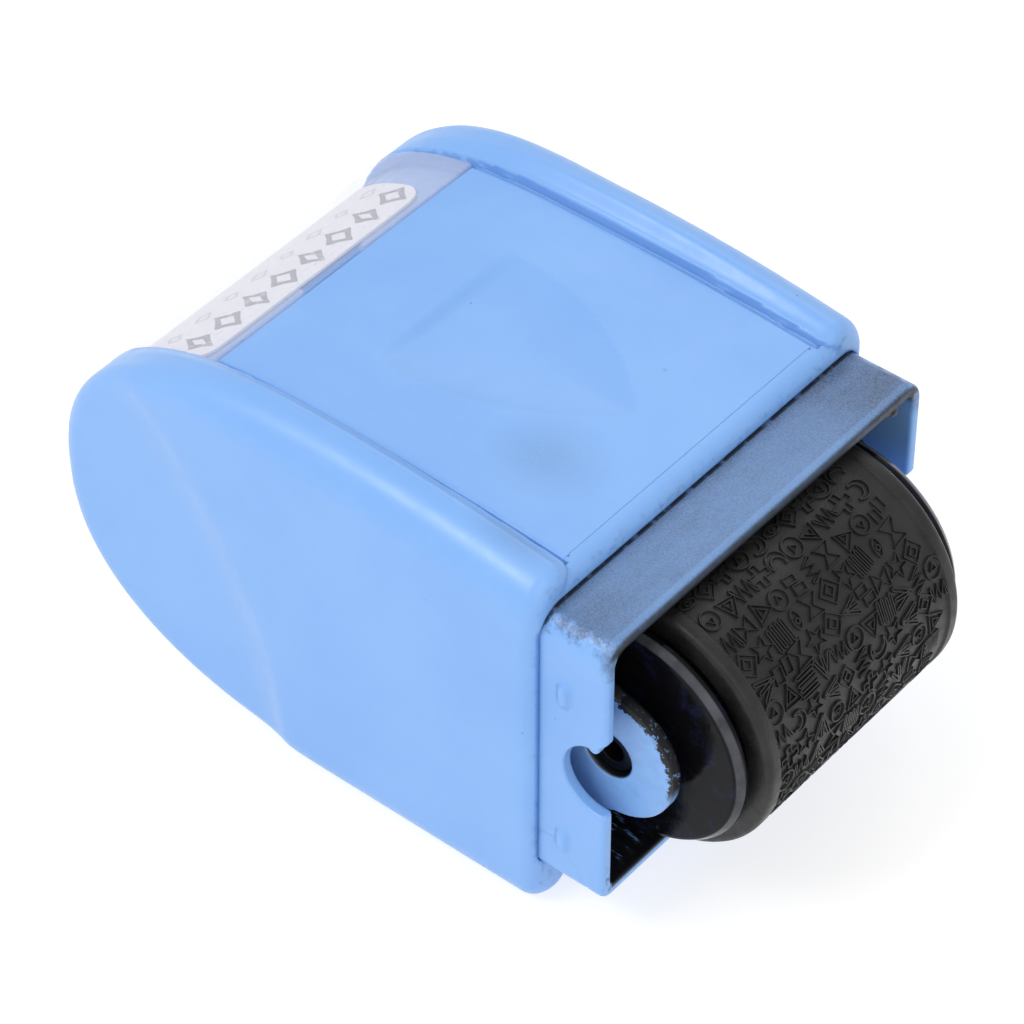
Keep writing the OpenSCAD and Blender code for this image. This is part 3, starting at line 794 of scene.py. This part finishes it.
def card_look():
    k = Look("card", Specular_IOR_Level=0.3)
    fibre = k.noise(3.0, 5.0, 0.7, (1.0, 1.0, 0.6))
    color = k.mix(k.step(fibre, 0.3, 0.8), srgb(224, 222, 227), srgb(238, 236, 239))
    return k.finish(color, k.step(fibre, 0.2, 0.8, 0.55, 0.75), fibre, 0.2, 0.04)


def print_and_ghost_look(name, grey):
    k = Look(name, Specular_IOR_Level=0.3)
    worn = k.step(k.noise(1.3, 5.0, 0.7), 0.5, 0.75)
    color = k.mix(worn, srgb(grey, grey, grey + 6), srgb(212, 211, 217))
    return k.finish(color, k.step(k.noise(2.0), 0.2, 0.8, 0.55, 0.7), k.noise(5.0), 0.1, 0.02)


LOOKS = {
    "case": blue_plastic("case_blue", case_film_and_collar_shade),
    "neck": blue_plastic("neck_blue", neck_film_shade_and_highlight, neck_ink),
    "cheek": blue_plastic("cheek_blue", None, cheek_ink_and_shade),
    "rubber": rubber_look(),
    "gloss": gloss_look(),
    "foam": foam_look(),
    "pale": pale_plastic(),
    "steel": steel_look(),
    "clear": clear_look(),
    "card": card_look(),
    "print": print_and_ghost_look("print_grey", 138),
    "painted_ghost_marks": print_and_ghost_look("painted_ghost_look", 200),
}


def install(obj, look, body, nodes=()):
    """Gives a piece its material and body, and hides the CAD nodes that it stands in for."""
    obj.data.materials.clear()
    obj.data.materials.append(LOOKS[look])
    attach(obj, body)
    if nodes:
        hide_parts(*nodes)
    return obj


# ---------------------------------------------------------------- the case and its panels
def make_case():
    xs = line(X_BACK - 0.6, X_COLLAR + 0.7, 0.62, (X_WINDOW - 1.2, X_WINDOW + 1.4, 0.4), (15.6, 21, 0.36))
    half = line(0.0, CASE_W / 2 + 0.7, 0.66, (16.9, 21.8, 0.32), (21.8, 26, 0.45))
    ys = mirrored(half)
    zs = line(-0.7, CASE_H + 0.7, 0.62, (-0.7, 4.8, 0.45), (36.5, 45, 0.4))
    shell = moulded("case_shell", case_field, xs, ys, zs)
    install(shell, "case", "case", ["outer_case"])
    half = line(0.0, PANEL_W / 2 + 0.6, 0.45, (18.2, 20, 0.15))
    ys = mirrored(half)
    xs = line(X_WINDOW - 0.4, X_COLLAR - 1.4, 0.45, (X_WINDOW - 0.4, X_WINDOW + 0.8, 0.15), (17.4, 19, 0.15))
    panel = moulded("thumb_panel", panel_field, xs, ys, line(33.0, 43.0, 0.4))
    install(panel, "case", "case", ["top_panel"])
    xs = line(X_ROUND - 6.4, X_COLLAR - 3.6, 0.5)
    base = moulded("floor_panel", base_field, xs, ys, line(1.3, 4.8, 0.35))
    install(base, "case", "case", ["base_panel"])


def sheet_point(s, y, depth):
    """Points at a depth below the window's surface; s is 0 at the window's front edge and grows backwards."""
    a = np.linspace(math.radians(89.9), 0, 900)
    n = 2 / 3.0
    x, z = X_ROUND - (BACK_L - 0.2) * np.cos(a) ** n, Z_MID + (Z_MID - RAIL_H) * np.sin(a) ** n
    length = np.concatenate([[0], np.cumsum(np.hypot(np.diff(x), np.diff(z)))])
    s0 = np.interp(-(X_WINDOW - 0.6), -x, length)
    at = s0 + np.asarray(s, float)
    px, pz = np.interp(at, length, x), np.interp(at, length, z)
    tx, tz = np.interp(at, length, np.gradient(x, length)), np.interp(at, length, np.gradient(z, length))
    size = np.hypot(tx, tz)
    nx, nz = -tz / size, tx / size
    nx, nz = np.where(nz < 0, -nx, nx), np.abs(nz)
    return np.stack([px - nx * depth, np.asarray(y, float) + px * 0, pz - nz * depth], 1)


def make_label():
    xs = line(X_BACK - 0.3, X_WINDOW + 0.6, 0.3)
    half = line(0.0, SLOT_W / 2 + 0.5, 0.4, (18.3, 20, 0.25))
    ys = mirrored(half)
    pane = moulded("clear_pane", window_field, xs, ys, line(25.4, 43.4, 0.3))
    install(pane, "clear", "window", ["label_window"])
    make_card()
    make_card_print_and_ghost()


def make_card():
    """The card: a bent sheet with round corners."""
    rows, cols = 60, 44
    s = np.linspace(CARD_FRONT, CARD_BACK, rows)
    end = np.minimum(s - CARD_FRONT, CARD_BACK - s)
    inset = np.where(end < CARD_R, CARD_R - np.sqrt(np.maximum(CARD_R**2 - (CARD_R - end) ** 2, 0)), 0)
    w = np.linspace(0, 1, cols)
    grid_s, grid_w, edge = np.repeat(s, cols), np.tile(w, rows), np.repeat(inset, cols)
    y = CARD_NEAR + edge + grid_w * (CARD_FAR - CARD_NEAR - 2 * edge)
    upper, lower = sheet_point(grid_s, y, SEAT_IN - 0.35), sheet_point(grid_s, y, SEAT_IN - 0.06)
    points = np.concatenate([upper, lower])
    n, faces = rows * cols, []
    for i in range(rows - 1):
        for j in range(cols - 1):
            q = (i * cols + j, i * cols + j + 1, (i + 1) * cols + j + 1, (i + 1) * cols + j)
            faces += [q, tuple(v + n for v in q[::-1])]
    rim = list(range(cols)) + [i * cols + cols - 1 for i in range(1, rows)]
    rim += [(rows - 1) * cols + j for j in range(cols - 2, -1, -1)]
    rim += [i * cols for i in range(rows - 2, 0, -1)]
    faces += [(a, a + n, b + n, b) for a, b in zip(rim, rim[1:] + rim[:1])]
    card = add_mesh("printed_card", points, faces, smooth_below=40)
    install(card, "card", "case", ["label_card"])


def make_card_print_and_ghost():
    """The card's print, a row of plain diamonds, wide and narrow in turn, and a fainter row behind it, which
    is a painted ghost image of the marks rather than print.
    """
    def on_card(a, b, h):
        return sheet_point(a, b, SEAT_IN - 0.36 - h)

    for name, look, s0, s1, wide, stroke in (
        ("card_marks", "print", 3.4, 6.5, 1.35, 0.95),
        # painted ghost image of the marks: a fainter, smaller row behind the printed one
        ("card_painted_ghost_marks", "painted_ghost_marks", 7.9, 9.5, 1.0, 0.5),
    ):
        loops, mid = [], (s0 + s1) / 2
        for i in range(MARKS_ON_CARD):
            y0, half = FIRST_MARK_Y + MARK_PITCH * i, wide if i % 2 else 0.75 * wide
            loops.append(np.array([(s0, y0), (mid, y0 - half), (s1, y0), (mid, y0 + half)]))
        install(stroke_mesh(name, loops, on_card, stroke, 0.012, 0.0), look, "case", [])


def make_neck():
    xs = line(X_BAY - 0.5, X_NECK + 0.5, 0.6, (X_COLLAR - 4.6, X_COLLAR, 0.45), (X_COLLAR, 29, 0.26))
    half = line(0.0, NECK_W / 2 + 0.8, 0.6, (18, 21, 0.3), (21.9, 24.6, 0.26))
    ys = mirrored(half)
    fine = ((5.3, 8, 0.3), (9, 13, 0.36), (17, 27.5, 0.3), (28.5, 32, 0.36), (36, 39.6, 0.28))
    zs = line(NECK_Z0 - 2.3, NECK_Z0 + NECK_H + 0.8, 0.5, *fine)
    neck = moulded("neck_mouth", neck_field, xs, ys, zs)
    install(neck, "neck", "case", ["neck_sleeve"])
    make_floor_ribs()


def make_floor_ribs():
    """Fine ribs along the neck's floor, with fronts that slope down."""
    top, x0, x1 = NECK_Z0 + NECK_WALL, X_COLLAR, X_NECK - 0.5
    foot, crest, slope = top - 0.1, top + 0.33, 1.4
    sides = [(0, 1, 5, 4), (1, 2, 6, 5), (2, 3, 7, 6), (3, 0, 4, 7), (0, 3, 2, 1), (4, 5, 6, 7)]
    points, faces = [], []
    for n, i in enumerate(range(-RIBS_PER_SIDE, RIBS_PER_SIDE + 1)):
        y = i * RIB_PITCH
        for x, crest_x in ((x0, x0), (x1, x1 - slope)):
            points += [(x, y - 0.3, foot), (crest_x, y - 0.16, crest)]
            points += [(crest_x, y + 0.16, crest), (x, y + 0.3, foot)]
        faces += [tuple(v + 8 * n for v in side) for side in sides]
    install(add_mesh("neck_floor_ribs", points, faces, smooth_below=30), "neck", "case", [])


# ---------------------------------------------------------------- the cartridge and its rollers
def make_cartridge():
    xs = line(X_CART - 0.4, X_AXLE + 9.2, 0.42, (16, 36, 0.26))
    zs = line(CART_Z0 - 0.5, CART_Z1 + 0.6, 0.42, (12, 32, 0.3))
    plate = moulded("cheek_left", plate_field, xs, line(CHEEK_IN - 0.5, RUNNER_Y + 0.5, 0.22), zs)
    install(plate, "cheek", "cartridge", ["cartridge_side_plate"])
    y0, y1 = -RUNNER_Y - 0.5, CHEEK_IN + 0.6
    fine = ((y0, -CHEEK_IN + 0.3, 0.24), (CHEEK_IN - 9.4, CHEEK_IN - 7.4, 0.35), (18.1, 20.3, 0.3))
    ys = line(y0, y1, 0.55, *fine)
    holder = moulded("cheek_right_and_bridge", frame_field, xs, ys, zs)
    install(holder, "cheek", "cartridge", ["cartridge_frame"])
    on_axis, hole_l = 0.01, 7
    for (x, z), node in zip(RODS, ("tie_rod_lower", "tie_rod_upper")):
        hole_end = CHEEK_IN - hole_l
        hole = [(on_axis, hole_end, 0), (SCREW_R, hole_end, 0)]
        half = hole + [(SCREW_R, CHEEK_IN, 0.1), (ROD_R, CHEEK_IN, 0.2)]
        rod = turned("rod_" + node[8:], both_ends(half), x, z, 48)
        install(rod, "steel", "cartridge", [node])
    e, bore_r = CHEEK_OUT - 0.6, AXLE_R / 2
    half = [(on_axis, e - 2.4, 0), (bore_r, e - 2.4, 0), (bore_r, e, 0.15), (AXLE_R, e, 0.35)]
    axle = turned("axle", both_ends(half), X_AXLE, steps=72)
    install(axle, "gloss", "cartridge", ["roller_axle"])
    e = CHEEK_OUT - 0.2
    pin = turned("ink_roller_pin", both_ends([(on_axis, e, 0), (SPINDLE_R, e, 0.25)]), X_INK, steps=48)
    install(pin, "steel", "cartridge", ["ink_spindle"])
    for side, word in ((1, "left"), (-1, "right")):
        y0, y1, r = side * (SLEEVE_L / 2 + 0.8), side * CHEEK_IN, SPINDLE_R + 0.02
        ring = [(r, y0, 0), (r + 2, y0, 0.25), (r + 2, y1, 0.25), (r, y1, 0)]
        washer = turned("spacer_" + word, ring, X_INK, steps=64)
        install(washer, "pale", "cartridge", ["ink_washer_" + word])


def make_type_roller():
    half, bore_r = SLEEVE_L / 2, CORE_R - 1.7
    drum = turned("roller_drum", both_ends([(bore_r, half, 0.2), (CORE_R, half, 0)]), X_AXLE)
    install(drum, "gloss", "type_roller", ["roller_core"])
    low, inner_r = SLEEVE_R - 0.24, CORE_R + 0.01
    shoulder = [(SLEEVE_R, half, 1.0), (SLEEVE_R, half - 1.55, 0.15)]
    skin_half = [(inner_r, half, 0)] + shoulder + [(low, half - 1.75, 0.1)]
    skin = turned("sleeve_body", both_ends(skin_half), X_AXLE, steps=240, sharp=60)
    rng = np.random.default_rng(7)

    def place(s, y, h):
        a, q = s / SLEEVE_R + 0.13, low + h
        return np.stack([X_AXLE + q * np.cos(a), y, Z_AXLE + q * np.sin(a)], 1)

    relief = stroke_mesh("relief", sleeve_loops(rng), place, 0.28, RELIEF_H)
    sleeve = joined("type_sleeve_rubber", [skin, relief])
    install(sleeve, "rubber", "type_roller", ["type_sleeve"])
    for side, word in ((1, "left"), (-1, "right")):
        inner, outer, hub = DISC_OUT - 1.6, DISC_OUT, CHEEK_IN - 0.4
        bore, plug = AXLE_R + 0.05, bore_r - 0.02
        spigot = [(bore, half - 4, 0.1), (plug, half - 4, 0.3), (plug, half, 0)]
        neck = [(DISC_R - 2, half, 0.0), (DISC_R - 2, inner, 0.15)]
        rim = [(DISC_R - 0.3, inner, 0.12), (DISC_R, inner + 0.3, 0.12), (DISC_R, outer - 0.75, 0.12)]
        edge = [(DISC_R - 0.5, outer - 0.06, 0.16), (DISC_R - 0.8, outer, 0.2)]
        boss = [(HUB_R, outer, 0.1), (HUB_R, hub, 0.2), (bore, hub, 0.15)]
        corners = spigot + neck + rim + edge + boss
        disc = turned("end_cap_" + word, [(a, side * b, c) for a, b, c in corners], X_AXLE, steps=192)
        install(disc, "gloss", "type_roller", ["end_disc_" + word])


def make_ink_roller():
    half = SLEEVE_L / 2
    rng = np.random.default_rng(11)
    waves = []
    for _ in range(40):
        along, around, phase = rng.uniform(0.8, 4.5), rng.integers(3, 40), rng.uniform(0, 6.28)
        waves.append((along, around, phase, rng.uniform(0.008, 0.02)))

    def pores(r, y, turn):
        rough = sum(a * np.sin(k * y + m * turn + ph) for k, m, ph, a in waves)
        return r + np.where(r > FOAM_R - 0.9, np.minimum(rough - 0.1, 0.03), 0)

    body = [(INK_CORE_R + 0.01, -half, 0), (FOAM_R, -half, 0.7)]
    body += [(FOAM_R, y, 0) for y in np.linspace(-half + 0.8, half - 0.8, 90)]
    body += [(FOAM_R, half, 0.7), (INK_CORE_R + 0.01, half, 0)]
    foam = turned("ink_foam_roll", body, X_INK, steps=160, sharp=80, shape=pores)
    install(foam, "foam", "ink_roller", ["ink_foam"])
    e = half + 0.6
    tube_half = [(SPINDLE_R + 0.05, e, 0.1), (INK_CORE_R, e, 0.3)]
    tube = turned("ink_tube", both_ends(tube_half), X_INK, steps=72)
    install(tube, "pale", "ink_roller", ["ink_core"])


def dress_screws():
    """The CAD screws stay in view; they get the steel look."""
    for node in ("side_plate_screws", "frame_screws"):
        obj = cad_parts[node]
        obj.data.materials.clear()
        obj.data.materials.append(LOOKS["steel"])


# ---------------------------------------------------------------- stage
def make_stage():
    bpy.ops.mesh.primitive_plane_add(size=6)
    floor = bpy.context.object
    floor.name = "studio_floor"
    look = bpy.data.materials.new("studio_white")
    look.use_nodes = True
    nt = look.node_tree
    nt.nodes.clear()
    diffuse, glow = nt.nodes.new("ShaderNodeBsdfDiffuse"), nt.nodes.new("ShaderNodeEmission")
    diffuse.inputs["Color"].default_value = (0.42, 0.42, 0.42, 1)
    glow.inputs["Strength"].default_value = 0.66
    add, out = nt.nodes.new("ShaderNodeAddShader"), nt.nodes.new("ShaderNodeOutputMaterial")
    nt.links.new(diffuse.outputs[0], add.inputs[0])
    nt.links.new(glow.outputs[0], add.inputs[1])
    nt.links.new(add.outputs[0], out.inputs["Surface"])
    floor.data.materials.append(look)
    world = bpy.data.worlds.new("studio")
    bpy.context.scene.world = world
    world.use_nodes = True
    world.node_tree.nodes["Background"].inputs["Color"].default_value = (1.0, 1.0, 1.0, 1)
    world.node_tree.nodes["Background"].inputs["Strength"].default_value = 0.84
    for name, place, size, power in (
        ("key", (-0.25, -0.55, 0.75), (0.4, 0.25), 3.2),
        ("fill", (0.65, -0.35, 0.55), (0.5, 0.5), 1.3),
        ("back", (-0.15, 0.65, 0.6), (0.7, 0.35), 0.85),
    ):
        light = bpy.data.lights.new(name, "AREA")
        light.shape, light.size, light.size_y, light.energy = "RECTANGLE", size[0], size[1], power
        lamp = bpy.data.objects.new(name, light)
        lamp.location = place
        lamp.rotation_euler = (Vector((0, 0, 0.022)) - Vector(place)).to_track_quat("-Z", "Y").to_euler()
        bpy.context.scene.collection.objects.link(lamp)


def make_camera():
    azimuth, elevation = math.radians(39.41), math.radians(43.58)
    aim, distance = Vector((-1.02, -2.28, 22.91)) * MM, 0.4156
    level = math.cos(elevation)
    back = Vector((math.sin(azimuth) * level, -math.cos(azimuth) * level, math.sin(elevation)))
    right = Vector((math.cos(azimuth), math.sin(azimuth), 0))
    up = back.cross(right)
    cam = bpy.data.cameras.new("camera")
    cam.lens, cam.sensor_width = 152.9, 36.0
    cam.clip_start, cam.clip_end = 0.01, 20
    obj = bpy.data.objects.new("camera", cam)
    turn = Matrix((right, up, back)).transposed().to_4x4()
    obj.matrix_world = Matrix.Translation(aim + back * distance) @ turn
    bpy.context.scene.collection.objects.link(obj)
    bpy.context.scene.camera = obj


make_camera()
make_case()
make_label()
make_neck()
make_cartridge()
make_type_roller()
make_ink_roller()
dress_screws()
make_stage()
bpy.context.scene.view_settings.view_transform = "Standard"
